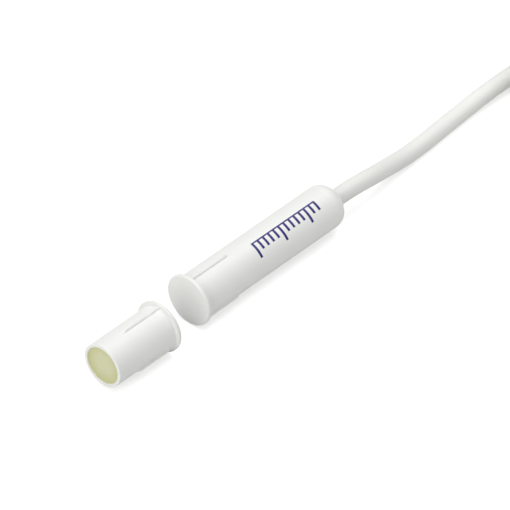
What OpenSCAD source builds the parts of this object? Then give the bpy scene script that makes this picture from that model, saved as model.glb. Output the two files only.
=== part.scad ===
// Recessed magnetic contact: a wired reed switch in a flanged plug, and a magnet in a shorter flanged cup.
// Both plugs lie with their axes level along X, faces towards each other, and the cable leaves towards +X.

/* [Housings] */
// Outer diameter of both bodies, the size of the hole they push into
body_d = 8; // [7.6:0.1:10]
// Wall of both bodies
wall = 0.6; // [0.4:0.05:0.8]
// Thickness of the closed front faces
face_t = 0.9; // [0.7:0.1:1.4]
// Overhang of the front flanges past the bodies
flange_rim = 0.7; // [0.5:0.05:3]
// Thickness of the front flanges
flange_t = 0.7; // [0.5:0.05:0.9]
// Rounding of the flanges' front edges
flange_round = 0.3; // [0.1:0.05:0.45]
// Height of the half-round crush ribs above the bodies
rib_h = 0.35; // [0.15:0.05:0.4]
// Distance from the front faces to the rear tips of the crush ribs
rib_l = 9.3; // [4:0.1:12]
// Number of crush ribs round each body
rib_n = 3; // [3:1:6]

/* [Switch half] */
// Length of the switch half without its cable
switch_l = 35.4; // [34.6:0.1:60]
// Straight part of the end cap, between its seam and its rounding
cap_straight = 0.8; // [0.4:0.1:2]
// Length of the cap's spigot inside the tube
spigot_l = 1.6; // [0.8:0.1:2.5]
// Clearance round the spigot and round the cable in the cap
cap_clearance = 0.05; // [0.03:0.01:0.1]
// Flat ring left round the cable at the rounded end
end_land = 0.2; // [0.1:0.05:0.6]
// Length of the resin bead along the cable
bead_l = 0.35; // [0.2:0.05:0.8]

/* [Reed switch] */
// Diameter of the glass tube
glass_d = 2.3; // [1.8:0.1:2.5]
// Length of the glass tube
glass_l = 14; // [10:0.5:14.5]
// Wall of the glass tube
glass_wall = 0.3; // [0.2:0.05:0.35]
// Length of the closed glass at each end
seal_l = 2; // [1.5:0.1:3]
// Diameter of the round leads
lead_d = 0.5; // [0.4:0.05:0.6]
// Width of the flat blades
blade_w = 1.1; // [0.6:0.05:1.1]
// Thickness of the flat blades
blade_t = 0.18; // [0.12:0.01:0.2]
// Overlap of the two blades at the contact
blade_overlap = 1.2; // [0.6:0.1:2]
// Open gap between the two blades
contact_gap = 0.08; // [0.04:0.01:0.1]
// Wall of the sleeve shrunk over the glass
sleeve_wall = 0.35; // [0.2:0.05:0.4]
// Overhang of the sleeve past each end of the glass
sleeve_over = 0.4; // [0.2:0.1:0.8]
// Room between the front face and the turned lead
front_room = 1.1; // [0.6:0.1:1.5]
// Straight lead between its turn and the glass
lead_straight = 1.2; // [0.8:0.1:1.5]
// Diameter of the solder joints
solder_d = 0.9; // [0.8:0.05:1]
// Length of the solder joints
solder_l = 2; // [1.5:0.1:2.2]

/* [Magnet half] */
// Length of the magnet half
magnet_half_l = 14; // [12.6:0.1:30]
// Ring of resin between the magnet and its cup
magnet_clearance = 0.4; // [0.2:0.05:1]
// Length of the magnet
magnet_l = 10; // [6:0.5:11]
// Depth of the resin below the open rim
resin_recess = 0.3; // [0.1:0.05:0.6]
// Dip of the resin in its middle
meniscus = 0.15; // [0.05:0.05:0.3]

/* [Cable] */
// Diameter of the cable
cable_d = 3.2; // [3:0.1:3.4]
// Wall of the cable's sheath outside its cores
jacket_t = 0.4; // [0.3:0.05:0.45]
// Diameter of an insulated core
core_d = 0.9; // [0.7:0.05:0.95]
// Diameter of a core's bare conductor
strand_d = 0.44; // [0.3:0.02:0.5]
// Length of sheathed cable held inside the switch half
sheath_in = 6; // [5:0.1:7]
// Length of bare conductor at the cable's far end
bare_l = 5; // [3:0.5:7]
// Straight length of the hank's runs
hank_run = 55; // [50:1:64]
// Runs side by side in each half of the hank
hank_columns = 2; // [2:1:3]
// Runs above each other in the hank
hank_levels = 6; // [3:1:7]
// Width of the tie along the hank
tie_w = 6; // [3:0.5:10]
// Thickness of the tie
tie_t = 0.5; // [0.3:0.1:1]

/* [Layout] */
// Distance between the two front faces
gap = 7.4; // [3:0.1:15]
// Sideways distance between the two axes
aside = 1; // [0:0.1:3]

/* [Hidden] */
$fn = 64;
// Sides of a swept tube
tube_sides = 8;
// How far a cut runs past a face that it opens
cut = 0.2;

// Radii, from the diameters above
body_r = body_d / 2;
bore_r = body_r - wall;
flange_r = body_r + flange_rim;
magnet_r = bore_r - magnet_clearance;
glass_r = glass_d / 2;
lead_r = lead_d / 2;
sleeve_r = glass_r + sleeve_wall;
solder_r = solder_d / 2;
cable_r = cable_d / 2;
core_r = core_d / 2;
strand_r = strand_d / 2;
bridge_r = strand_r + 0.06;

// Place of each half: the set is centred on the origin and its flanges touch z = 0
total_l = switch_l + gap + magnet_half_l;
switch_x = total_l / 2 - switch_l;
magnet_x = magnet_half_l - total_l / 2;
switch_y = aside / 2;
magnet_y = -aside / 2;
axis_z = flange_r;
exit_x = total_l / 2;

// Stations along the switch half, measured back from its front face
end_round = body_r - cable_r - end_land;
seam_u = switch_l - end_round - cap_straight;
potting_end_u = seam_u - spigot_l;
sheath_u = switch_l - sheath_in;
// The front lead turns back over the sleeve at this height
return_gap = 0.35;
return_z = sleeve_r + return_gap + lead_r;
turn_u = face_t + front_room + lead_r + return_z / 2;
glass_u = turn_u + lead_straight;
glass_end_u = glass_u + glass_l;
cavity_r = glass_r - glass_wall;
contact_u = glass_u + glass_l / 2;
// Round lead inside the cavity before it is flattened
lead_in = 0.8;
// Both leads meet their cores at this station, just behind the sleeve
joint_u = glass_end_u + sleeve_over + 0.5 + solder_l / 2;
// The four cores lie on this radius in the cable
core_pitch = cable_r - jacket_t - core_r;
// The tamper loop's bridge lies between the cores of the two leads, midway from their joints to the cable
bridge_u = (joint_u + solder_l / 2 + sheath_u) / 2;
bridge_z = 0.45;
strip_l = 0.5;

// The cable's hank lies beside the cable's end, with its folds three diameters wide or more
fold_r = 3 * cable_d;
hank_in_r = fold_r - cable_r;
hank_out_r = hank_in_r + hank_columns * cable_d;
hank_x = 87;
hank_y = switch_y + 2.5 + cable_r - hank_out_r;
run_z = tie_t + cable_r;
tie_x = hank_x + 45;
stub_r = cable_r - 0.02;

// Route of the cable from inside the cap to the hank
lead_route = [
    [exit_x - sheath_in, switch_y, axis_z],
    [exit_x, switch_y, axis_z],
    [exit_x + 3.6, switch_y, axis_z],
    [exit_x + 7.5, switch_y, 4.4],
    [exit_x + 11, switch_y + 0.2, 3.8],
    [exit_x + 14.6, switch_y + 0.7, 2.9],
    [exit_x + 17.6, switch_y + 1.1, 2.2],
    [exit_x + 20.9, switch_y + 1.4, 1.7],
    [exit_x + 24.6, switch_y + 1.6, 1.6],
    [exit_x + 28.6, switch_y + 1.9, 1.6],
    [exit_x + 32.6, switch_y + 2.2, 1.6],
    [exit_x + 36.6, switch_y + 2.4, 1.7],
    [exit_x + 40.6, switch_y + 2.5, 1.9],
    [exit_x + 44.6, switch_y + 2.5, run_z],
    [exit_x + 49.1, switch_y + 2.5, run_z]];

// Route of the cable's end out of the hank, into its open middle
tail_route = [
    [hank_x + 32, hank_y - 6.8, run_z],
    [hank_x + 30, hank_y - 5.5, run_z],
    [hank_x + 27.5, hank_y - 4.5, 2],
    [hank_x + 24.5, hank_y - 4, 1.8],
    [hank_x + 21, hank_y - 3.8, 1.6],
    [hank_x + 17.5, hank_y - 3.8, 1.6]];
tail_end = tail_route[len(tail_route) - 1];

// Routes of the four stripped cores, from the end of the sheath to the floor
white_route = [
    tail_end + [0, 0, core_pitch], tail_end + [-1, 0, core_pitch], tail_end + [-3.5, 0.2, 0.6],
    tail_end + [-7, 0.9, -0.3], tail_end + [-10, 1.9, -1], tail_end + [-13, 2.5, -1.15],
    tail_end + [-16, 2.8, -1.15]];
brown_route = [
    tail_end + [0, 0, -core_pitch], tail_end + [-1, 0, -core_pitch], tail_end + [-3.5, -0.1, -0.9],
    tail_end + [-7, -0.4, -1.1], tail_end + [-11, -0.6, -1.15], tail_end + [-15.5, -0.4, -1.15]];
green_route = [
    tail_end + [0, core_pitch, 0], tail_end + [-1, core_pitch, 0], tail_end + [-3.5, 1.2, -0.3],
    tail_end + [-7, 2.6, -0.9], tail_end + [-10.5, 4.2, -1.15], tail_end + [-15, 5.4, -1.15]];
yellow_route = [
    tail_end + [0, -core_pitch, 0], tail_end + [-1, -core_pitch, 0], tail_end + [-3.5, -1.3, -0.3],
    tail_end + [-7, -2.4, -0.9], tail_end + [-10.5, -3.2, -1.15], tail_end + [-15, -3, -1.15]];

// Colours
white_plastic = [0.93, 0.93, 0.93];
sheath_white = [0.91, 0.91, 0.89];
cream_resin = [0.8, 0.79, 0.66];
tin = [0.75, 0.76, 0.78];

// A unit vector along v
function unit(v) = v / norm(v);

// Direction of a route at its point i
function heading(route, i) = unit(route[min(i + 1, len(route) - 1)] - route[max(i - 1, 0)]);

// Corners of a tube's section at point p, square to direction d
function ring(p, d, r) =
    let (side = unit(cross(d, [0, 0, 1])), up = cross(side, d))
    [for (k = [0:tube_sides - 1]) p + r * (cos((k + 0.5) * 360 / tube_sides) * side
        + sin((k + 0.5) * 360 / tube_sides) * up)];

// A tube of radius r swept along the points of a route
module tube(route, r) {
    last = len(route) - 1;
    corners = [for (i = [0:last]) each ring(route[i], heading(route, i), r)];
    walls = [for (i = [0:last - 1], k = [0:tube_sides - 1])
        [i * tube_sides + k, i * tube_sides + (k + 1) % tube_sides,
            (i + 1) * tube_sides + (k + 1) % tube_sides, (i + 1) * tube_sides + k]];
    first_end = [for (k = [tube_sides - 1:-1:0]) k];
    last_end = [for (k = [0:tube_sides - 1]) last * tube_sides + k];
    polyhedron(corners, concat([first_end], walls, [last_end]));
}

// Puts what is drawn from a front face backwards along +X into the switch half
module in_switch() {
    translate([switch_x, switch_y, axis_z]) children();
}

// The same for the magnet half, which faces the other way
module in_magnet() {
    translate([magnet_x, magnet_y, axis_z]) mirror([1, 0, 0]) children();
}

// A round bar on the axis, from station a to station b
module rod(a, b, r) {
    translate([a, 0, 0]) rotate([0, 90, 0]) cylinder(h = b - a, r = r);
}

// Turns a profile drawn as (radius, station) round the axis
module turned() {
    rotate([0, 90, 0]) rotate_extrude() children();
}

// A round bar bent to an arc in the upright plane of the axis, round (u, z) from angle a to angle b
module bent_rod(u, z, bend_r, r, a, b) {
    translate([u, 0, z]) rotate([90, 0, 0]) rotate([0, 0, a])
        rotate_extrude(angle = b - a) translate([bend_r, 0]) circle(r = r);
}

// A straight wire from (u_a, z_a) to (u_b, z_b), of which the stretch from station from_u is left
module slanted_rod(u_a, z_a, u_b, z_b, from_u, r) {
    intersection() {
        translate([u_a, 0, z_a]) rotate([0, atan2(z_a - z_b, u_b - u_a), 0])
            rod(-cut, norm([u_b - u_a, z_b - z_a]) + cut, r);
        rod(from_u, u_b, bore_r);
    }
}

// Body with its front flange and crush ribs, before its bore
module flanged_body(length) {
    turned() {
        square([body_r, length]);
        square([flange_r - flange_round, flange_t]);
        translate([0, flange_round]) square([flange_r, flange_t - flange_round]);
        translate([flange_r - flange_round, flange_round]) circle(r = flange_round);
    }
    for (i = [0:rib_n - 1])
        rotate([i * 360 / rib_n, 0, 0]) translate([0, 0, body_r]) {
            rod(flange_t / 2, rib_l - rib_h, rib_h);
            translate([rib_l - rib_h, 0, 0]) sphere(r = rib_h);
        }
}

// Round lead of the front blade: it turns back over the sleeve to its solder joint
module front_lead() {
    rod(turn_u, glass_u + seal_l + lead_in, lead_r);
    bent_rod(turn_u, return_z / 2, return_z / 2, lead_r, 90, 270);
    translate([0, 0, return_z]) rod(turn_u, joint_u, lead_r);
}

// Round lead of the rear blade, straight to its solder joint
module rear_lead() {
    rod(glass_end_u - seal_l - lead_in, joint_u, lead_r);
}

// Outer form of the sealed glass tube
module glass_body() {
    rod(glass_u + glass_r, glass_end_u - glass_r, glass_r);
    for (u = [glass_u + glass_r, glass_end_u - glass_r])
        translate([u, 0, 0]) sphere(r = glass_r);
}

// Core from the front lead's joint down into the cable
module front_core(from_u, r) {
    slanted_rod(joint_u, return_z, sheath_u, core_pitch, from_u, r);
}

// Core from the rear lead's joint down into the cable
module rear_core(from_u, r) {
    slanted_rod(joint_u, 0, sheath_u, -core_pitch, from_u, r);
}

// One of the two cores that are joined to each other as the tamper loop
module loop_core(side, from_u, r) {
    translate([0, side * core_pitch, 0]) slanted_rod(bridge_u, bridge_z, sheath_u, 0, from_u, r);
}

// Solder joint on a line at height z
module joint_form(z) {
    translate([0, 0, z]) rod(joint_u - solder_l / 2, joint_u + solder_l / 2, solder_r);
}

// Solder bridge between the two cores of the tamper loop
module bridge_form() {
    translate([bridge_u, 0, bridge_z]) rotate([90, 0, 0])
        cylinder(h = 2 * (core_pitch + bridge_r), r = bridge_r, center = true);
}

// The four bare conductors, from their joints to the cable
module conductors() {
    front_core(joint_u, strand_r);
    rear_core(joint_u, strand_r);
    for (side = [-1, 1])
        loop_core(side, bridge_u, strand_r);
}

// The hank's outline with folds of radius r
module hank_outline(r) {
    translate([hank_x, hank_y]) circle(r = r);
    translate([hank_x + hank_run, hank_y]) circle(r = r);
    translate([hank_x, hank_y - r]) square([hank_run, 2 * r]);
}

// Flanged tube with a closed front that holds the reed switch
module switch_housing() {
    color(white_plastic) in_switch() difference() {
        flanged_body(seam_u);
        rod(face_t, seam_u + cut, bore_r);
    }
}

// Rounded cap that closes the tube round the cable
module end_cap() {
    color(white_plastic) in_switch() difference() {
        turned() {
            translate([0, potting_end_u]) square([bore_r - cap_clearance, spigot_l + cap_straight / 2]);
            translate([0, seam_u]) square([body_r, cap_straight]);
            translate([0, seam_u]) square([body_r - end_round, switch_l - seam_u]);
            intersection() {
                translate([body_r - end_round, switch_l - end_round]) circle(r = end_round);
                translate([body_r - end_round, switch_l - end_round]) square(end_round);
            }
        }
        rod(potting_end_u - cut, switch_l + cut, cable_r + cap_clearance);
    }
}

// Resin that has set round the cable where it leaves the cap
module exit_bead() {
    color(cream_resin) in_switch() turned()
        polygon([[cable_r, switch_l], [cable_r + end_land, switch_l],
            [cable_r + end_land / 3, switch_l + bead_l / 3], [cable_r, switch_l + bead_l]]);
}

// Resin that fills the tube round the reed switch, the joints and the cores
module potting_resin() {
    color(cream_resin) in_switch() difference() {
        rod(face_t, potting_end_u, bore_r);
        rod(glass_u - sleeve_over, glass_end_u + sleeve_over, sleeve_r);
        front_lead();
        rear_lead();
        joint_form(return_z);
        joint_form(0);
        bridge_form();
        conductors();
        front_core(joint_u + solder_l / 2, core_r);
        rear_core(joint_u + solder_l / 2, core_r);
        for (side = [-1, 1])
            loop_core(side, bridge_u + strip_l, core_r);
        rod(sheath_u, potting_end_u + cut, cable_r);
    }
}

// Soft sleeve over the glass, which keeps the resin's stress off it
module reed_sleeve() {
    color([0.2, 0.2, 0.22]) in_switch() difference() {
        rod(glass_u - sleeve_over, glass_end_u + sleeve_over, sleeve_r);
        rod(glass_u - sleeve_over - cut, glass_end_u + sleeve_over + cut, glass_r);
    }
}

// Glass tube sealed round both leads
module reed_glass() {
    color([0.7, 0.85, 0.8, 0.5]) in_switch() difference() {
        glass_body();
        rod(glass_u + seal_l, glass_end_u - seal_l, cavity_r);
        rod(glass_u - cut, glass_end_u + cut, lead_r);
    }
}

// Front blade and its lead
module reed_blade_front() {
    color(tin) in_switch() {
        front_lead();
        translate([glass_u + seal_l + lead_in / 2, -blade_w / 2, contact_gap / 2])
            cube([contact_u + blade_overlap / 2 - glass_u - seal_l - lead_in / 2, blade_w, blade_t]);
    }
}

// Rear blade and its lead
module reed_blade_rear() {
    color(tin) in_switch() {
        rear_lead();
        translate([contact_u - blade_overlap / 2, -blade_w / 2, -contact_gap / 2 - blade_t])
            cube([glass_end_u - seal_l - lead_in / 2 - contact_u + blade_overlap / 2, blade_w, blade_t]);
    }
}

// Solder joint between the front lead and its core
module solder_front() {
    color(tin) in_switch() difference() {
        joint_form(return_z);
        front_lead();
        front_core(joint_u, strand_r);
    }
}

// Solder joint between the rear lead and its core
module solder_rear() {
    color(tin) in_switch() difference() {
        joint_form(0);
        rear_lead();
        rear_core(joint_u, strand_r);
    }
}

// Solder bridge that closes the tamper loop
module solder_loop() {
    color(tin) in_switch() difference() {
        bridge_form();
        for (side = [-1, 1])
            loop_core(side, bridge_u, strand_r);
    }
}

// Insulation of the core from the front joint
module core_white() {
    color([0.95, 0.95, 0.93]) in_switch() difference() {
        front_core(joint_u + solder_l / 2, core_r);
        front_core(joint_u, strand_r);
    }
}

// Insulation of the core from the rear joint
module core_brown() {
    color([0.4, 0.24, 0.14]) in_switch() difference() {
        rear_core(joint_u + solder_l / 2, core_r);
        rear_core(joint_u, strand_r);
    }
}

// Insulation of the tamper loop's first core
module core_green() {
    color([0.1, 0.5, 0.25]) in_switch() difference() {
        loop_core(1, bridge_u + strip_l, core_r);
        loop_core(1, bridge_u, strand_r);
    }
}

// Insulation of the tamper loop's second core
module core_yellow() {
    color([0.9, 0.8, 0.15]) in_switch() difference() {
        loop_core(-1, bridge_u + strip_l, core_r);
        loop_core(-1, bridge_u, strand_r);
    }
}

// Bare conductors of the four cores inside the switch half
module core_strands() {
    color([0.8, 0.5, 0.3]) in_switch() conductors();
}

// Flanged cup that holds the magnet
module magnet_housing() {
    color(white_plastic) in_magnet() difference() {
        flanged_body(magnet_half_l);
        rod(face_t, magnet_half_l + cut, bore_r);
    }
}

// Round bar magnet against the closed face
module bar_magnet() {
    color([0.45, 0.45, 0.47]) in_magnet() rod(face_t, face_t + magnet_l, magnet_r);
}

// Resin round and behind the magnet, with a slight dip in the open end
module magnet_resin() {
    dish_r = (bore_r * bore_r + meniscus * meniscus) / (2 * meniscus);
    color(cream_resin) in_magnet() difference() {
        rod(face_t, magnet_half_l - resin_recess, bore_r);
        rod(face_t - cut, face_t + magnet_l, magnet_r);
        translate([magnet_half_l - resin_recess - meniscus + dish_r, 0, 0]) sphere(r = dish_r);
    }
}

// Cable from inside the cap to the hank
module cable_lead() {
    color(sheath_white) tube(lead_route, cable_r);
}

// The rest of the cable, folded into a hank in line with the contact
module cable_hank() {
    lead_end = lead_route[len(lead_route) - 1];
    out = unit(tail_route[1] - tail_route[0]);
    stub_l = 5;
    color(sheath_white) union() {
        translate([0, 0, tie_t]) linear_extrude(height = hank_levels * cable_d) difference() {
            hank_outline(hank_out_r);
            hank_outline(hank_in_r);
        }
        translate(lead_end) rod(0, hank_x - lead_end[0], stub_r);
        translate(tail_route[0] - stub_l * out)
            rotate([0, 0, atan2(out[1], out[0])]) rod(0, stub_l, stub_r);
    }
}

// Flat band round the whole hank
module hank_tie() {
    hank_h = hank_levels * cable_d;
    color([0.15, 0.15, 0.16]) difference() {
        translate([tie_x - tie_w / 2, hank_y - hank_out_r - tie_t, 0])
            cube([tie_w, 2 * (hank_out_r + tie_t), hank_h + 2 * tie_t]);
        translate([tie_x - tie_w / 2 - cut, hank_y - hank_out_r, tie_t])
            cube([tie_w + 2 * cut, 2 * hank_out_r, hank_h]);
    }
}

// End of the sheathed cable
module cable_tail() {
    color(sheath_white) tube(tail_route, cable_r);
}

// Stripped core at the cable's far end
module tail_core_white() {
    color([0.95, 0.95, 0.93]) tube(white_route, core_r);
}

// Stripped core at the cable's far end
module tail_core_brown() {
    color([0.4, 0.24, 0.14]) tube(brown_route, core_r);
}

// Stripped core at the cable's far end
module tail_core_green() {
    color([0.1, 0.5, 0.25]) tube(green_route, core_r);
}

// Stripped core at the cable's far end
module tail_core_yellow() {
    color([0.9, 0.8, 0.15]) tube(yellow_route, core_r);
}

// Tinned ends of the four stripped cores
module tail_strands() {
    color(tin) for (route = [white_route, brown_route, green_route, yellow_route]) {
        end = route[len(route) - 1];
        away = end - route[len(route) - 2];
        translate(end) rotate([0, 0, atan2(away[1], away[0])]) rod(0, bare_l, strand_r);
    }
}

switch_housing();
end_cap();
exit_bead();
potting_resin();
reed_sleeve();
reed_glass();
reed_blade_front();
reed_blade_rear();
solder_front();
solder_rear();
solder_loop();
core_white();
core_brown();
core_green();
core_yellow();
core_strands();
magnet_housing();
bar_magnet();
magnet_resin();
cable_lead();
cable_hank();
hank_tie();
cable_tail();
tail_core_white();
tail_core_brown();
tail_core_green();
tail_core_yellow();
tail_strands();
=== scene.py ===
"""Looks of a recessed magnetic contact: two ribbed plugs, a cable with its hank, and a white stage."""

import math

import bmesh
import bpy
from mathutils import Matrix, Vector


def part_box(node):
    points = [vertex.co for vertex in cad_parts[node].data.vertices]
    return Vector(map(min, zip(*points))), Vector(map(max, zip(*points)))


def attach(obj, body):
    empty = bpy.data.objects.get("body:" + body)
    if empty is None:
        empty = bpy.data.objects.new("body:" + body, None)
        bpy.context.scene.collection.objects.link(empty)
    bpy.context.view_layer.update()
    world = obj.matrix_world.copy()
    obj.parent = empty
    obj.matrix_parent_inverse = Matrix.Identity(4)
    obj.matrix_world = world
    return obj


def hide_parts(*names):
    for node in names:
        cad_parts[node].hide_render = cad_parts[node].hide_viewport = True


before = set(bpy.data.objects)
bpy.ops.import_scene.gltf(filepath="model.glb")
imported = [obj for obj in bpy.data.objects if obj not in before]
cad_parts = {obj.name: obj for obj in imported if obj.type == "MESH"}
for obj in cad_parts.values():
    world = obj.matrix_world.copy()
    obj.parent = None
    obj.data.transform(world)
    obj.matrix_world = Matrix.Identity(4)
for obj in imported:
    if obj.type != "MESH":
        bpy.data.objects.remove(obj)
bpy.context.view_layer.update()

bl_info = {
    "name": "Recessed Magnetic Contact",
    "version": (1, 0, 0),
    "blender": (4, 5, 0),
    "location": "3D View > Sidebar > Contact",
    "description": "Builds a recessed magnetic contact with its cable and a white stage",
    "category": "Add Mesh",
}

# All shapes below are worked out in millimetres and turned into metres when a mesh is made
MM = 0.001

# Camera fitted to the outlines of both plugs, in millimetres and as unit directions
CAMERA_PLACE = (-556.6, -518.8, 636.4)
CAMERA_RIGHT = (0.6761, -0.7368, 0.0)
CAMERA_UP = (0.4681, 0.4295, 0.7723)
CAMERA_BACK = (-0.5690, -0.5221, 0.6353)

# Route of the cable from inside the end cap to the hank, and its free end inside the hank
LEAD = [
    (26.9, 0.5, 4.7), (28.4, 0.5, 4.7), (32, 0.5, 4.7), (35.9, 0.5, 4.4), (39.4, 0.7, 3.8),
    (43, 1.2, 2.9), (46, 1.6, 2.2), (49.3, 1.9, 1.7), (53, 2.1, 1.6), (57, 2.4, 1.6),
    (61, 2.7, 1.6), (65, 2.9, 1.7), (69, 3, 1.9), (73, 3, 2.1), (77.5, 3, 2.1), (87, 3, 2.1),
]
TAIL = [
    (128, -19.4, 2.1), (125.5, -19.2, 2.1), (122.5, -18.4, 2.1), (119, -16.6, 2.1),
    (117, -15.3, 2.1), (114.5, -14.3, 2.0), (111.5, -13.8, 1.8), (108, -13.6, 1.6),
    (104.5, -13.6, 1.6),
]

# Stripped cores, as offsets from the end of the sheath
CORES = {
    "white": [(0, 0, .75), (-1, 0, .75), (-3.5, .2, .6), (-7, .9, -.3), (-10, 1.9, -1),
              (-13, 2.5, -1.15), (-16, 2.8, -1.15)],
    "brown": [(0, 0, -.75), (-1, 0, -.75), (-3.5, -.1, -.9), (-7, -.4, -1.1),
              (-11, -.6, -1.15), (-15.5, -.4, -1.15)],
    "green": [(0, .75, 0), (-1, .75, 0), (-3.5, 1.2, -.3), (-7, 2.6, -.9),
              (-10.5, 4.2, -1.15), (-15, 5.4, -1.15)],
    "yellow": [(0, -.75, 0), (-1, -.75, 0), (-3.5, -1.3, -.3), (-7, -2.4, -.9),
               (-10.5, -3.2, -1.15), (-15, -3, -1.15)],
}
CORE_RADIUS = 0.45
BARE_LENGTH = 5.0
BARE_RADIUS = 0.22

# Hank of the unseen cable: two columns of loops, six levels high
HANK_MIDDLE = -9.8
HANK_NEAR = 87.0
HANK_FAR = 142.0
HANK_OUTER = 12.8
HANK_INNER = 9.6
HANK_BASE = 2.1
HANK_LEVELS = 6
CABLE_RADIUS = 1.6

BODY_RADIUS = 4.0
FLANGE_RADIUS = 4.7
BORE_RADIUS = 3.4
FLANGE_THICK = 0.7
FACE_THICK = 0.9

# Inner nodes, sealed in resin, by material slot
SEALED = {
    "potting_resin": "resin", "reed_sleeve": "sleeve_rubber", "reed_glass": "glass_tube",
    "reed_blade_front": "blade_metal", "reed_blade_rear": "blade_metal",
    "solder_front": "solder", "solder_rear": "solder", "solder_loop": "solder",
    "core_white": "insulation_white", "core_brown": "insulation_brown",
    "core_green": "insulation_green", "core_yellow": "insulation_yellow",
    "core_strands": "conductor", "bar_magnet": "magnet",
}


def linear(red, green, blue):
    """A display colour from 0 to 255 as linear values."""
    out = []
    for value in (red, green, blue):
        share = value / 255
        out.append(share / 12.92 if share <= 0.04045 else ((share + 0.055) / 1.055) ** 2.4)
    return tuple(out)


def box_mm(node):
    """Lowest and highest corner of a node in millimetres."""
    low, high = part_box(node)
    return Vector(low) / MM, Vector(high) / MM


def sizes():
    """The scene's size settings."""
    return bpy.context.scene.contact_sizes


def colours():
    """The scene's colour settings."""
    return bpy.context.scene.contact_colours


class Socket:
    """An output of a material's nodes that works in sums like a number."""

    def __init__(self, paint, socket):
        self.paint = paint
        self.socket = socket

    def __add__(self, other):
        return self.paint.calc("ADD", self, other)

    def __radd__(self, other):
        return self.paint.calc("ADD", other, self)

    def __sub__(self, other):
        return self.paint.calc("SUBTRACT", self, other)

    def __rsub__(self, other):
        return self.paint.calc("SUBTRACT", other, self)

    def __mul__(self, other):
        return self.paint.calc("MULTIPLY", self, other)

    def __rmul__(self, other):
        return self.paint.calc("MULTIPLY", other, self)

    def __truediv__(self, other):
        return self.paint.calc("DIVIDE", self, other)

    def __rtruediv__(self, other):
        return self.paint.calc("DIVIDE", other, self)

    def __pow__(self, other):
        return self.paint.calc("POWER", self, other)

    def __rpow__(self, other):
        return self.paint.calc("POWER", other, self)

    def __abs__(self):
        return self.paint.calc("ABSOLUTE", self)


class Paint:
    """A material in the making."""

    def __init__(self, name):
        self.material = bpy.data.materials.new(name)
        self.material.use_nodes = True
        self.tree = self.material.node_tree
        self.surface = next(n for n in self.tree.nodes if n.type == "BSDF_PRINCIPLED")
        place = self.node("ShaderNodeTexCoord", "Object")
        scaled = self.node(
            "ShaderNodeVectorMath", 0, {"operation": "SCALE"}, {0: place, "Scale": 1 / MM}
        )
        self.place = scaled
        split = self.node("ShaderNodeSeparateXYZ", None, {}, {0: scaled})
        self.x, self.y, self.z = (Socket(self, split.outputs[i]) for i in range(3))

    def put(self, socket, value):
        """Link a socket to a value, or set it."""
        if isinstance(value, Socket):
            self.tree.links.new(value.socket, socket)
        else:
            socket.default_value = value

    def node(self, kind, output=0, settings=None, values=None):
        """Add any node, and give one of its outputs, or the node itself when output is None."""
        made = self.tree.nodes.new(kind)
        for key, value in (settings or {}).items():
            setattr(made, key, value)
        for key, value in (values or {}).items():
            self.put(made.inputs[key], value)
        return made if output is None else Socket(self, made.outputs[output])

    def calc(self, operation, *values):
        """One step of arithmetic."""
        return self.node("ShaderNodeMath", 0, {"operation": operation}, dict(enumerate(values)))

    def clamp(self, value):
        """A value held between 0 and 1."""
        settings = {"operation": "ADD", "use_clamp": True}
        return self.node("ShaderNodeMath", 0, settings, {0: value, 1: 0.0})

    def within(self, value, low, high, soft):
        """1 where a value lies between two limits, with edges that soft wide."""
        rise = self.clamp((value - low) / soft + 0.5)
        fall = self.clamp((high - value) / soft + 0.5)
        return rise * fall

    def mix(self, factor, first, second):
        """A colour between two."""
        return self.node(
            "ShaderNodeMix", 2, {"data_type": "RGBA"}, {0: factor, 6: first, 7: second}
        )

    def noise(self, scale, detail=2.0):
        """Noise from 0 to 1, with scale in waves to the millimetre."""
        return self.node(
            "ShaderNodeTexNoise", 0, {},
            {"Vector": self.place, "Scale": scale, "Detail": detail},
        )

    def bump(self, height, distance):
        """Raise the surface by a height from 0 to 1, times a distance in millimetres."""
        normal = self.node(
            "ShaderNodeBump", 0, {}, {"Height": height, "Distance": distance * MM, "Strength": 1.0}
        )
        self.put(self.surface.inputs["Normal"], normal)

    def finish(self, colour, roughness, **others):
        """Set the surface and give the material."""
        self.put(self.surface.inputs["Base Color"], colour)
        self.put(self.surface.inputs["Roughness"], roughness)
        for name, value in others.items():
            self.put(self.surface.inputs[name.replace("_", " ")], value)
        return self.material


def opaque(colour, strength=1.0):
    """A colour with its alpha, made lighter or darker."""
    return (colour[0] * strength, colour[1] * strength, colour[2] * strength, 1.0)


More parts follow.
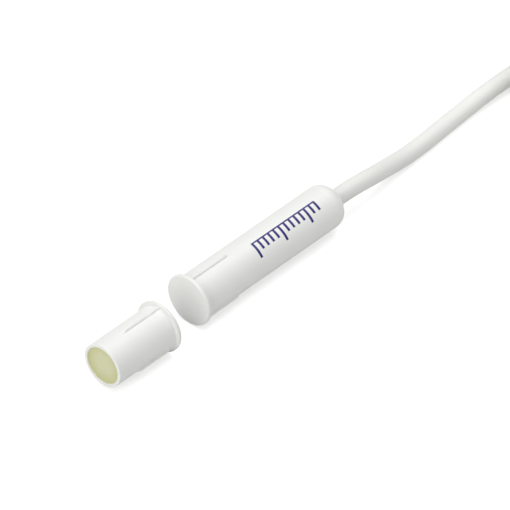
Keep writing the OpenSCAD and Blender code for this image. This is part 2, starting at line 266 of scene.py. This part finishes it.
def housing_material():
    """White moulded plastic with the blue scale printed on the switch half's side."""
    paint = Paint("moulded_plastic")
    low, high = box_mm("switch_housing")
    axis_y = (low.y + high.y) / 2
    axis_z = (low.z + high.z) / 2
    along = paint.x - low.x
    around = paint.calc("ARCTAN2", axis_y - paint.y, paint.z - axis_z) * BODY_RADIUS
    first = sizes().scale_start / MM
    pitch = sizes().scale_pitch / MM
    last = first + pitch * sizes().scale_marks
    top = 1.0
    count = (along - first) / pitch
    nearest = paint.calc("ROUND", count)
    off = abs(count - nearest) * pitch
    fifth = paint.calc("COMPARE", paint.calc("FLOORED_MODULO", nearest + 0.5, 5.0), 0.5, 0.1)
    length = 1.8 + 1.1 * fifth
    tick = (
        paint.clamp((0.25 - off) / 0.05 + 0.5)
        * paint.within(along, first - 0.4, last + 0.4, 0.05)
        * paint.clamp((around - top) / 0.05 + 0.5)
        * paint.clamp((top + length - around) / 0.05 + 0.5)
    )
    line = paint.within(around, top - 0.15, top + 0.15, 0.05) * paint.within(
        along, first - 0.22, last + 0.22, 0.05
    )
    worn = paint.clamp((paint.noise(5.0, 3.0) - 0.3) * 6.0) * 0.15 + 0.85
    ink = paint.clamp(tick + line) * worn
    cloud = paint.noise(0.35, 3.0)
    white = paint.mix(cloud, opaque(colours().plastic, 0.97), opaque(colours().plastic, 1.0))
    colour = paint.mix(ink, white, opaque(colours().ink))
    paint.bump(paint.noise(9.0, 4.0) * 0.7 + paint.noise(1.1, 2.0) * 0.3, 0.006)
    return paint.finish(colour, 0.36 + 0.1 * paint.noise(1.7, 3.0))


def resin_material(name, wall_shade_share):
    """Cast resin, with painted shade that makes it darker and greener towards the wall."""
    paint = Paint(name)
    low, high = box_mm("magnet_resin")
    dy = paint.y - (low.y + high.y) / 2
    dz = paint.z - (low.z + high.z) / 2
    radius = paint.calc("SQRT", dy * dy + dz * dz)
    # painted shade: the resin's colour turns darker and greener towards the wall, where the wall shades
    # it
    edge = paint.clamp((radius - 1.6) / 1.7)
    streaks = paint.noise(0.9, 4.0)
    centre = paint.mix(streaks, opaque(colours().resin, 0.93), opaque(colours().resin))
    colour = paint.mix(edge * wall_shade_share, centre, opaque(colours().resin_wall_shade))
    paint.bump(paint.noise(2.2, 4.0), 0.03)
    return paint.finish(colour, 0.3 + 0.12 * streaks, Coat_Weight=0.15)


def sheath_material():
    """Matt sheath of the cable."""
    paint = Paint("cable_sheath")
    fine = paint.noise(4.0, 3.0)
    colour = paint.mix(
        paint.noise(0.2, 2.0), opaque(colours().sheath, 0.97), opaque(colours().sheath)
    )
    paint.bump(fine, 0.008)
    return paint.finish(colour, 0.42 + 0.1 * fine)


def soft_material(name, colour, roughness, grain=3.0, **others):
    """A plain stuff with a faint grain in its colour, gloss and surface."""
    paint = Paint(name)
    speck = paint.noise(grain, 3.0)
    paint.bump(speck, 0.004)
    shade = paint.mix(speck, opaque(colour, 0.9), opaque(colour))
    return paint.finish(shade, roughness + 0.08 * speck, **others)


def tie_material():
    """Woven band."""
    paint = Paint("woven_band")
    across = paint.calc("SINE", paint.x * (2 * math.pi / 0.55))
    down = paint.calc("SINE", (paint.y + paint.z) * (2 * math.pi / 0.7))
    weave = across * down * 0.5 + 0.5
    colour = paint.mix(weave, opaque(colours().tie, 0.55), opaque(colours().tie))
    paint.bump(weave, 0.06)
    return paint.finish(colour, 0.75 + 0.1 * paint.noise(3.0))


def rounded(corners):
    """Points of a closed profile whose corners are (station, radius, fillet)."""
    out = []
    for i, (station, radius, fillet) in enumerate(corners):
        here = Vector((station, radius))
        if fillet == 0:
            out.append(here)
            continue
        back = (Vector(corners[i - 1][:2]) - here).normalized()
        on = (Vector(corners[(i + 1) % len(corners)][:2]) - here).normalized()
        half = back.angle(on) / 2
        centre = here + (back + on).normalized() * (fillet / math.sin(half))
        reach = fillet / math.tan(half)
        start = here + back * reach - centre
        end = here + on * reach - centre
        turns = max(4, round(14 * fillet ** 0.5))
        for k in range(turns + 1):
            out.append(centre + start.slerp(end, k / turns).normalized() * fillet)
    return out


def stretched(points, longest, closed):
    """The same profile with no segment longer than longest, which may be a function of the two ends."""
    out = []
    pairs = zip(points, points[1:] + (points[:1] if closed else []))
    for a, b in pairs:
        limit = longest(a, b)
        parts = max(1, math.ceil((b - a).length / limit))
        out.extend(a.lerp(b, k / parts) for k in range(parts))
    if not closed:
        out.append(points[-1])
    return out


def turned_mesh(profile, closed, steps=240):
    """A profile turned once round the X axis into a closed mesh, still in millimetres."""
    shape = bmesh.new()
    points = [shape.verts.new((p.x, 0.0, p.y)) for p in profile]
    pairs = list(zip(points, points[1:]))
    if closed:
        pairs.append((points[-1], points[0]))
    edges = [shape.edges.new(pair) for pair in pairs]
    bmesh.ops.spin(
        shape, geom=points + edges, axis=(1, 0, 0), cent=(0, 0, 0),
        angle=2 * math.pi, steps=steps, use_merge=True,
    )
    bmesh.ops.remove_doubles(shape, verts=shape.verts, dist=0.0005)
    return shape


def mesh_object(name, shape, axis_y=0.0, axis_z=0.0, face_x=0.0, way=1):
    """A worked bmesh as an object, moved to its place in the row frame."""
    for vert in shape.verts:
        x, y, z = vert.co
        vert.co = ((face_x + way * x) * MM, (y + axis_y) * MM, (z + axis_z) * MM)
    bmesh.ops.recalc_face_normals(shape, faces=shape.faces)
    mesh = bpy.data.meshes.new(name)
    shape.to_mesh(mesh)
    shape.free()
    return bpy.data.objects.new(name, mesh)


def place_piece(piece, material, nodes, sharp=32):
    """Link a piece, give it its finish, hang it on the root, and hide the nodes it stands for."""
    bpy.context.scene.collection.objects.link(piece)
    if piece.type == "MESH":
        piece.data.shade_smooth()
        piece.data.set_sharp_from_angle(angle=math.radians(sharp))
    piece.data.materials.append(material)
    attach(piece, "root")
    if nodes:
        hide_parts(*nodes)


def rib_height(angle, station, ends, nicks):
    """Height of the crush ribs at an angle from the top and a distance behind the face."""
    best = 0.0
    for number, middle in enumerate((0.0, 2 * math.pi / 3, -2 * math.pi / 3)):
        away = (angle - middle + math.pi) % (2 * math.pi) - math.pi
        t = abs(away) * BODY_RADIUS / (sizes().rib_width / MM / 2)
        if t >= 1 or station >= ends[number]:
            continue
        height = (1 - t ** 2) ** 0.8
        left = ends[number] - station
        if left < 0.9:
            height *= (1 - (1 - left / 0.9) ** 2) ** 0.5
        for rib, start, stop, depth in nicks:
            if rib == number and start < station < stop:
                height *= 1 - depth * math.sin(math.pi * (station - start) / (stop - start))
        best = max(best, height)
    return best * sizes().rib_height / MM


def shell(name, node, way, length, ends, nicks):
    """Flanged tube, closed at the front, with its three crush ribs raised out of the wall."""
    low, high = box_mm(node)
    front = low.x if way == 1 else high.x
    corners = rounded([
        (0, FLANGE_RADIUS, sizes().flange_round / MM),
        (FLANGE_THICK, FLANGE_RADIUS, 0.05),
        (FLANGE_THICK, BODY_RADIUS, 0.08),
        (length, BODY_RADIUS, 0.015 if way == 1 else 0.1),
        (length, BORE_RADIUS, 0.03 if way == 1 else 0.12),
        (FACE_THICK, BORE_RADIUS, 0),
        (FACE_THICK, 0, 0),
        (0, 0, 0),
    ])
    line = corners[-1:] + corners[:-1]

    def longest(a, b):
        ribbed = min(a.y, b.y) > BODY_RADIUS - 0.01 and min(a.x, b.x) < 10
        return 0.3 if ribbed else 3.0

    # the ribbed stretch is cut at 10 mm, so that only it gets close rows
    split = []
    for a, b in zip(line, line[1:]):
        split.append(a)
        if a.y > BODY_RADIUS - 0.01 and a.x < 10 < b.x and b.y > BODY_RADIUS - 0.01:
            split.append(a.lerp(b, (10 - a.x) / (b.x - a.x)))
    split.append(line[-1])
    shape = turned_mesh(stretched(split, longest, False), False, 360)
    for vert in shape.verts:
        radius = math.hypot(vert.co.y, vert.co.z)
        if radius < BODY_RADIUS - 0.02 or vert.co.x < FLANGE_THICK - 0.001:
            continue
        raised = BODY_RADIUS + rib_height(
            math.atan2(-vert.co.y, vert.co.z), vert.co.x, ends, nicks
        )
        if raised > radius:
            vert.co.y *= raised / radius
            vert.co.z *= raised / radius
    return mesh_object(
        name, shape, (low.y + high.y) / 2, low.z + FLANGE_RADIUS, front, way
    )


def smooth_route(points, step):
    """A Catmull-Rom curve through points, in steps of about that many millimetres."""
    knots = [Vector(p) for p in points]
    knots = [2 * knots[0] - knots[1]] + knots + [2 * knots[-1] - knots[-2]]
    out = []
    for i in range(1, len(knots) - 2):
        a, b, c, d = knots[i - 1:i + 3]
        parts = max(2, round((c - b).length / step))
        for k in range(parts):
            t = k / parts
            out.append(0.5 * (
                2 * b + (c - a) * t + (2 * a - 5 * b + 4 * c - d) * t ** 2
                + (3 * b - a - 3 * c + d) * t ** 3
            ))
    out.append(knots[-2])
    return out


def eased(value):
    """A step from 0 to 1 that starts and ends level."""
    t = min(1.0, max(0.0, value))
    return t * t * (3 - 2 * t)


def fold(x, radius, level, far):
    """Half a turn of the cable at one end of the hank."""
    height = HANK_BASE + 2 * CABLE_RADIUS * level
    out = []
    for k in range(1, 24):
        turn = math.pi * k / 24
        away = radius * math.sin(turn)
        side = radius * math.cos(turn)
        if far:
            out.append(Vector((x + away, HANK_MIDDLE + side, height)))
        else:
            out.append(Vector((x - away, HANK_MIDDLE - side, height)))
    return out


def run(start, stop, side, radii, levels, change):
    """One straight run, in which the radius and the level may change between two stations."""
    out = []
    parts = 30
    for k in range(parts + 1):
        x = start + (stop - start) * k / parts
        share = eased((x - change[0]) / (change[1] - change[0]))
        radius = radii[0] + (radii[1] - radii[0]) * share
        level = levels[0] + (levels[1] - levels[0]) * share
        height = HANK_BASE + 2 * CABLE_RADIUS * level
        out.append(Vector((x, HANK_MIDDLE + side * radius, height)))
    return out


def winding():
    """The hank's loops: up the outer column, across at the top and down the inner one."""
    out = []
    for level in range(HANK_LEVELS):
        out += run(HANK_NEAR, HANK_FAR, 1, (HANK_OUTER,) * 2, (level,) * 2, (100, 120))
        out += fold(HANK_FAR, HANK_OUTER, level, True)
        if level < HANK_LEVELS - 1:
            out += run(HANK_FAR, HANK_NEAR, -1, (HANK_OUTER,) * 2, (level, level + 1), (127, 88))
            out += fold(HANK_NEAR, HANK_OUTER, level + 1, False)
    top = HANK_LEVELS - 1
    out += run(HANK_FAR, HANK_NEAR, -1, (HANK_OUTER, HANK_INNER), (top, top), (140, 123))
    for level in range(top, 0, -1):
        out += fold(HANK_NEAR, HANK_INNER, level, False)
        out += run(HANK_NEAR, HANK_FAR, 1, (HANK_INNER,) * 2, (level, level - 1), (90, 127))
        out += fold(HANK_FAR, HANK_INNER, level - 1, True)
        if level > 1:
            out += run(HANK_FAR, HANK_NEAR, -1, (HANK_INNER,) * 2, (level - 1,) * 2, (100, 120))
    return out


def cable_route():
    """The whole cable from inside the end cap to the end of its sheath."""
    lead = smooth_route(LEAD, 0.8)
    end = smooth_route(TAIL, 0.8)
    last = [Vector((HANK_FAR, HANK_MIDDLE - HANK_INNER, HANK_BASE))]
    return lead[:-1] + winding() + last + end


def tube_object(name, routes, radius, sides):
    """Round tubes along routes in millimetres, as one curve of open splines."""
    data = bpy.data.curves.new(name, "CURVE")
    data.dimensions = "3D"
    data.bevel_depth = radius * MM
    data.bevel_resolution = sides
    data.use_fill_caps = True
    for route in routes:
        spline = data.splines.new("POLY")
        spline.points.add(len(route) - 1)
        for point, place in zip(spline.points, route):
            point.co = (place.x * MM, place.y * MM, place.z * MM, 1.0)
        spline.use_smooth = True
    return bpy.data.objects.new(name, data)


def bare_strands(start, way):
    """Seven fine strands, six of them twisted round the first."""
    side = way.cross(Vector((0, 0, 1))).normalized()
    up = side.cross(way).normalized()
    fine = BARE_RADIUS / 3
    routes = [[start + way * BARE_LENGTH * k / 24 for k in range(25)]]
    for strand in range(6):
        route = []
        for k in range(25):
            turn = strand * math.pi / 3 + k / 24 * 2.2 * math.pi
            ring = side * math.cos(turn) + up * math.sin(turn)
            route.append(start + way * BARE_LENGTH * k / 24 + ring * 2 * fine)
        routes.append(route)
    return routes


def build_camera():
    """The camera that the photograph's outlines give."""
    data = bpy.data.cameras.new("view")
    data.sensor_width = 36.0
    data.lens = 423.53
    data.clip_start = 0.05
    data.clip_end = 20.0
    camera = bpy.data.objects.new("view", data)
    rows = Matrix((CAMERA_RIGHT, CAMERA_UP, CAMERA_BACK)).transposed().to_4x4()
    camera.matrix_world = Matrix.Translation(Vector(CAMERA_PLACE) * MM) @ rows
    bpy.context.scene.collection.objects.link(camera)
    bpy.context.scene.camera = camera


def camera_only(tree, shown, lit, target):
    """Join two shaders: one for what the camera sees, directly or through glass, and one for light."""
    rays = tree.nodes.new("ShaderNodeLightPath")
    seen = tree.nodes.new("ShaderNodeMath")
    seen.operation = "MAXIMUM"
    tree.links.new(rays.outputs["Is Camera Ray"], seen.inputs[0])
    tree.links.new(rays.outputs["Is Transmission Ray"], seen.inputs[1])
    blend = tree.nodes.new("ShaderNodeMixShader")
    tree.links.new(seen.outputs[0], blend.inputs[0])
    tree.links.new(lit, blend.inputs[1])
    tree.links.new(shown, blend.inputs[2])
    tree.links.new(blend.outputs[0], target)


def build_world():
    """White to the camera, and an even soft light on everything else."""
    world = bpy.data.worlds.new("white_room")
    world.use_nodes = True
    tree = world.node_tree
    tree.nodes.clear()
    shown = tree.nodes.new("ShaderNodeBackground")
    shown.inputs[0].default_value = (1, 1, 1, 1)
    shown.inputs[1].default_value = 1.0
    lit = tree.nodes.new("ShaderNodeBackground")
    lit.inputs[0].default_value = (0.97, 1.0, 0.98, 1)
    lit.inputs[1].default_value = sizes().room_light
    out = tree.nodes.new("ShaderNodeOutputWorld")
    camera_only(tree, shown.outputs[0], lit.outputs[0], out.inputs[0])
    bpy.context.scene.world = world


def build_floor():
    """Large white floor that keeps a faint shadow of the object."""
    shape = bmesh.new()
    bmesh.ops.create_grid(shape, x_segments=1, y_segments=1, size=3.0)
    mesh = bpy.data.meshes.new("floor")
    shape.to_mesh(mesh)
    shape.free()
    floor = bpy.data.objects.new("floor", mesh)
    bpy.context.scene.collection.objects.link(floor)
    material = bpy.data.materials.new("white_floor")
    material.use_nodes = True
    tree = material.node_tree
    tree.nodes.clear()
    matt = tree.nodes.new("ShaderNodeBsdfDiffuse")
    matt.inputs[0].default_value = (0.8, 0.8, 0.8, 1)
    glow = tree.nodes.new("ShaderNodeEmission")
    glow.inputs[1].default_value = sizes().floor_glow
    both = tree.nodes.new("ShaderNodeAddShader")
    tree.links.new(matt.outputs[0], both.inputs[0])
    tree.links.new(glow.outputs[0], both.inputs[1])
    out = tree.nodes.new("ShaderNodeOutputMaterial")
    camera_only(tree, both.outputs[0], matt.outputs[0], out.inputs[0])
    mesh.materials.append(material)


def add_lamp(name, size, power, place, tint):
    """A square soft light that looks at the object."""
    data = bpy.data.lights.new(name, "AREA")
    data.shape = "SQUARE"
    data.size = size
    data.energy = power
    data.color = tint
    lamp = bpy.data.objects.new(name, data)
    lamp.location = place
    lamp.rotation_euler = (-Vector(place)).to_track_quat("-Z", "Y").to_euler()
    bpy.context.scene.collection.objects.link(lamp)


def build_lights():
    """A large soft light above, and a weaker one in front of the faces."""
    add_lamp("overhead", 1.6, sizes().lamp_power, (0.25, 0.18, 1.42), (1.0, 1.0, 1.0))
    add_lamp("front", 1.0, sizes().front_power, (-1.15, -0.1, 0.6), (1.0, 0.985, 0.96))


def build_stage():
    """Camera, world, floor and light, and plain colour handling."""
    build_camera()
    build_world()
    build_floor()
    build_lights()
    bpy.context.scene.view_settings.view_transform = "Standard"


def build_cable():
    """The cable, with its hank and free end."""
    route = cable_route()
    cable = tube_object("cable", [route], CABLE_RADIUS, 5)
    place_piece(cable, sheath_material(), ("cable_lead", "cable_hank", "cable_tail"))


def build_cores():
    """Four stripped cores and their twisted, tinned ends."""
    end = Vector(TAIL[-1])
    strands = []
    for colour, offsets in CORES.items():
        points = [end + Vector(offset) for offset in offsets]
        # the core starts a little inside the sheath
        points = [points[0] + Vector((1.0, 0, 0))] + points
        route = smooth_route(points, 0.4)
        core = tube_object("core_end_" + colour, [route], CORE_RADIUS, 4)
        tone = tuple(getattr(colours(), colour + "_core"))
        material = soft_material("insulation_" + colour + "_end", tone, 0.4)
        place_piece(core, material, ("tail_core_" + colour,))
        strands += bare_strands(route[-1], (route[-1] - route[-2]).normalized())
    ends = tube_object("tinned_ends", strands, BARE_RADIUS / 3, 2)
    tin = soft_material("tin", linear(196, 198, 200), 0.28, 8.0, Metallic=1.0)
    place_piece(ends, tin, ("tail_strands",))


def build_tie():
    """Woven band round the hank."""
    low, high = box_mm("hank_tie")
    shape = bmesh.new()
    loop = rounded([
        (low.y, low.z, 2.2), (high.y, low.z, 2.2), (high.y, high.z, 2.2), (low.y, high.z, 2.2),
    ])
    points = [shape.verts.new((low.x, p.x, p.y)) for p in loop]
    edges = [shape.edges.new(pair) for pair in zip(points, points[1:] + points[:1])]
    made = bmesh.ops.extrude_edge_only(shape, edges=edges)
    moved = [v for v in made["geom"] if isinstance(v, bmesh.types.BMVert)]
    bmesh.ops.translate(shape, verts=moved, vec=(high.x - low.x, 0, 0))
    bmesh.ops.recalc_face_normals(shape, faces=shape.faces)
    bmesh.ops.solidify(shape, geom=shape.faces[:], thickness=0.5)
    rims = [e for e in shape.edges if len(e.link_faces) == 2 and e.calc_face_angle(0) > 1.2]
    bmesh.ops.bevel(
        shape, geom=rims, offset=0.12, offset_type="OFFSET", segments=2,
        profile=0.5, affect="EDGES", material=-1,
    )
    band = mesh_object("hank_band", shape)
    place_piece(band, tie_material(), ("hank_tie",))


def build_switch(material):
    """Shell of the switch half."""
    low, high = box_mm("switch_housing")
    piece = shell("switch_shell", "switch_housing", 1, high.x - low.x, (9.3, 8.5, 9.3), ())
    place_piece(piece, material, ("switch_housing",))


def build_cap(material):
    """Rounded end cap, and the bead of resin where the cable leaves it."""
    low, high = box_mm("switch_housing")
    rear = box_mm("end_cap")
    seam = high.x
    length = rear[1].x - seam
    hole = CABLE_RADIUS + 0.02
    corners = rounded([
        (-1.5, hole, 0), (-1.5, BORE_RADIUS - 0.05, 0.1), (0.005, BORE_RADIUS - 0.05, 0),
        (0.005, BODY_RADIUS, 0.015), (length, BODY_RADIUS, 2.2), (length, hole, 0),
    ])
    points = stretched(corners, lambda a, b: 1.0, True)
    axis_y = (low.y + high.y) / 2
    axis_z = low.z + FLANGE_RADIUS
    cap = mesh_object("rear_cap", turned_mesh(points, True), axis_y, axis_z, seam)
    place_piece(cap, material, ("end_cap",))
    bead_low, bead_high = box_mm("exit_bead")
    reach = (bead_high.z - bead_low.z) / 2
    proud = bead_high.x - rear[1].x
    outline = [Vector((-0.3, hole - 0.02)), Vector((-0.3, hole)), Vector((0.0, reach))]
    for k in range(1, 11):
        t = k / 10
        # the bead hollows towards the cable, as resin that has wetted both does
        outline.append(Vector((proud * t ** 1.8, reach + (hole - 0.02 - reach) * t)))
    shape = turned_mesh(outline, True)
    for vert in shape.verts:
        if vert.co.x > 0.01:
            angle = math.atan2(vert.co.y, vert.co.z)
            vert.co.x *= 1 + 0.18 * math.sin(2 * angle + 0.7) + 0.09 * math.sin(5 * angle)
    bead = mesh_object("resin_bead", shape, axis_y, axis_z, rear[1].x)
    place_piece(bead, resin_material("bead_resin", 0.0), ("exit_bead",))


def build_magnet(material):
    """Shell of the magnet half."""
    low, high = box_mm("magnet_housing")
    nicks = ((0, 2.5, 3.9, 0.4), (1, 1.4, 2.1, 0.45), (1, 2.3, 2.6, 0.3), (1, 5.0, 5.4, 0.4))
    piece = shell("magnet_shell", "magnet_housing", -1, high.x - low.x, (9.3, 9.4, 9.3), nicks)
    place_piece(piece, material, ("magnet_housing",))


def build_resin():
    """Resin in the magnet half's open end, dished in the middle and wetted up the wall."""
    low, high = box_mm("magnet_resin")
    open_end = box_mm("magnet_housing")[0].x
    rim = BORE_RADIUS - 0.01
    outline = []
    for k in range(25):
        radius = rim * k / 24
        wall = max(0.0, (radius - 2.7) / (rim - 2.7))
        depth = 0.47 - 0.1 * (radius / rim) ** 2 - 0.16 * wall ** 2.5
        outline.append(Vector((depth, radius)))
    back = high.x - open_end
    outline += [Vector((back, rim)), Vector((back, 0.0))]
    shape = turned_mesh(outline, False)
    for vert in shape.verts:
        if vert.co.x < 1.0:
            vert.co.x += 0.025 * math.sin(1.3 * vert.co.y + 0.4) * math.cos(1.1 * vert.co.z)
    piece = mesh_object("cup_resin", shape, (low.y + high.y) / 2, (low.z + high.z) / 2, open_end)
    # the resin in the cup gets the full painted shade towards the wall
    place_piece(piece, resin_material("cup_resin", 1.0), ("magnet_resin",))


def build_inner():
    """Finishes of the pieces sealed in the resin."""
    tones = {
        "resin": (206, 204, 170), "sleeve_rubber": (60, 60, 62), "glass_tube": (150, 185, 165),
        "blade_metal": (170, 168, 160), "solder": (190, 190, 188), "conductor": (190, 120, 80),
        "magnet": (120, 122, 125), "insulation_white": (232, 232, 226),
        "insulation_brown": (98, 62, 40), "insulation_green": (40, 128, 70),
        "insulation_yellow": (228, 196, 50),
    }
    metals = {"blade_metal", "solder", "conductor", "magnet"}
    made = {}
    for node, slot in SEALED.items():
        if slot not in made:
            metal = 1.0 if slot in metals else 0.0
            made[slot] = soft_material("inner_" + slot, linear(*tones[slot]), 0.4, 3.0, Metallic=metal)
        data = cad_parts[node].data
        data.materials.clear()
        data.materials.append(made[slot])


class ContactSizes(bpy.types.PropertyGroup):
    """Sizes and light of the scene."""

    rib_height: bpy.props.FloatProperty(
        name="Rib Height", description="How far the crush ribs stand proud of the body",
        default=0.35 * MM, unit="LENGTH", precision=5,
    )
    rib_width: bpy.props.FloatProperty(
        name="Rib Width", description="Width of a crush rib at its foot",
        default=0.76 * MM, unit="LENGTH", precision=5,
    )
    flange_round: bpy.props.FloatProperty(
        name="Flange Rounding", description="Rounding of the flange's front edge",
        default=0.3 * MM, unit="LENGTH", precision=5,
    )
    scale_start: bpy.props.FloatProperty(
        name="Scale Start", description="Distance of the first printed mark behind the face",
        default=14.5 * MM, unit="LENGTH", precision=5,
    )
    scale_pitch: bpy.props.FloatProperty(
        name="Scale Pitch", description="Distance between two printed marks",
        default=1.25 * MM, unit="LENGTH", precision=5,
    )
    scale_marks: bpy.props.IntProperty(
        name="Scale Marks", description="Number of steps on the printed scale", default=12,
    )
    room_light: bpy.props.FloatProperty(
        name="Room Light", description="Strength of the even light from all round", default=0.287,
    )
    lamp_power: bpy.props.FloatProperty(
        name="Lamp Power", description="Power of the overhead light", default=17.8, unit="POWER",
    )
    front_power: bpy.props.FloatProperty(
        name="Front Power", description="Power of the light before the faces", default=7.3, unit="POWER",
    )
    floor_glow: bpy.props.FloatProperty(
        name="Floor Glow", description="Light that the floor adds for the camera", default=0.55,
    )


def colour_property(label, text, red, green, blue):
    """A colour setting with its default given as display values."""
    return bpy.props.FloatVectorProperty(
        name=label, description=text, default=linear(red, green, blue),
        subtype="COLOR", size=3, min=0.0, max=1.0,
    )


class ContactColours(bpy.types.PropertyGroup):
    """Colours of the outer pieces."""

    plastic: colour_property("Plastic", "Moulded plastic of both halves", 242, 242, 240)
    ink: colour_property("Ink", "Printed scale on the side", 38, 28, 118)
    resin: colour_property("Resin", "Middle of the cast resin", 218, 217, 177)
    # painted shade: the resin's colour beside the wall, darker and greener than its middle
    resin_wall_shade: colour_property("Resin Edge", "Cast resin beside the wall", 201, 202, 147)
    sheath: colour_property("Sheath", "Sheath of the cable", 240, 240, 237)
    tie: colour_property("Tie", "Band round the hank", 70, 72, 76)
    white_core: colour_property("White Core", "Insulation of the white core", 232, 232, 226)
    brown_core: colour_property("Brown Core", "Insulation of the brown core", 98, 62, 40)
    green_core: colour_property("Green Core", "Insulation of the green core", 40, 128, 70)
    yellow_core: colour_property("Yellow Core", "Insulation of the yellow core", 228, 196, 50)


def shared_plastic():
    """The plastic that both halves are moulded in, made once."""
    return bpy.data.materials.get("moulded_plastic") or housing_material()


class CONTACT_OT_stage(bpy.types.Operator):
    """Set up the camera, the white floor and the light"""

    bl_idname = "contact.stage"
    bl_label = "Stage"

    def execute(self, context):
        build_stage()
        return {"FINISHED"}


class CONTACT_OT_cores(bpy.types.Operator):
    """Add the stripped cores and their tinned ends"""

    bl_idname = "contact.cores"
    bl_label = "Stripped Cores"

    def execute(self, context):
        build_cores()
        return {"FINISHED"}


class CONTACT_OT_tie(bpy.types.Operator):
    """Add the woven band round the hank"""

    bl_idname = "contact.tie"
    bl_label = "Hank Band"

    def execute(self, context):
        build_tie()
        return {"FINISHED"}


class CONTACT_OT_cable(bpy.types.Operator):
    """Add the cable with its hank, after its cores and band"""

    bl_idname = "contact.cable"
    bl_label = "Cable"

    def execute(self, context):
        build_cable()
        return {"FINISHED"}


class CONTACT_OT_switch(bpy.types.Operator):
    """Add the switch half's ribbed shell"""

    bl_idname = "contact.switch"
    bl_label = "Switch Shell"

    def execute(self, context):
        build_switch(shared_plastic())
        return {"FINISHED"}


class CONTACT_OT_cap(bpy.types.Operator):
    """Add the rounded end cap and the resin bead round the cable"""

    bl_idname = "contact.cap"
    bl_label = "End Cap"

    def execute(self, context):
        build_cap(shared_plastic())
        return {"FINISHED"}


class CONTACT_OT_magnet(bpy.types.Operator):
    """Add the magnet half's ribbed shell"""

    bl_idname = "contact.magnet"
    bl_label = "Magnet Shell"

    def execute(self, context):
        build_magnet(shared_plastic())
        return {"FINISHED"}


class CONTACT_OT_resin(bpy.types.Operator):
    """Add the resin in the magnet half's open end"""

    bl_idname = "contact.resin"
    bl_label = "Magnet Resin"

    def execute(self, context):
        build_resin()
        return {"FINISHED"}


class CONTACT_OT_inner(bpy.types.Operator):
    """Give the pieces sealed in the resin their finishes"""

    bl_idname = "contact.inner"
    bl_label = "Inner Finishes"

    def execute(self, context):
        build_inner()
        return {"FINISHED"}


OPERATORS = (
    CONTACT_OT_stage, CONTACT_OT_cores, CONTACT_OT_tie, CONTACT_OT_cable, CONTACT_OT_switch,
    CONTACT_OT_cap, CONTACT_OT_magnet, CONTACT_OT_resin, CONTACT_OT_inner,
)


class CONTACT_PT_panel(bpy.types.Panel):
    """Sizes, colours and pieces of the contact"""

    bl_idname = "CONTACT_PT_panel"
    bl_label = "Magnetic Contact"
    bl_space_type = "VIEW_3D"
    bl_region_type = "UI"
    bl_category = "Contact"

    def draw(self, context):
        for group in (context.scene.contact_sizes, context.scene.contact_colours):
            for name in group.__annotations__:
                self.layout.prop(group, name)
        for operator in OPERATORS:
            self.layout.operator(operator.bl_idname)


CLASSES = (ContactSizes, ContactColours, *OPERATORS, CONTACT_PT_panel)


def register():
    """Make the settings, operators and panel known to Blender."""
    for cls in CLASSES:
        bpy.utils.register_class(cls)
    bpy.types.Scene.contact_sizes = bpy.props.PointerProperty(type=ContactSizes)
    bpy.types.Scene.contact_colours = bpy.props.PointerProperty(type=ContactColours)


def unregister():
    """Take them away again."""
    del bpy.types.Scene.contact_colours
    del bpy.types.Scene.contact_sizes
    for cls in reversed(CLASSES):
        bpy.utils.unregister_class(cls)


def main():
    """Build everything in order."""
    register()
    bpy.ops.contact.stage()
    bpy.ops.contact.cores()
    bpy.ops.contact.tie()
    bpy.ops.contact.cable()
    bpy.ops.contact.switch()
    bpy.ops.contact.cap()
    bpy.ops.contact.magnet()
    bpy.ops.contact.resin()
    bpy.ops.contact.inner()


if __name__ == "__main__":
    main()
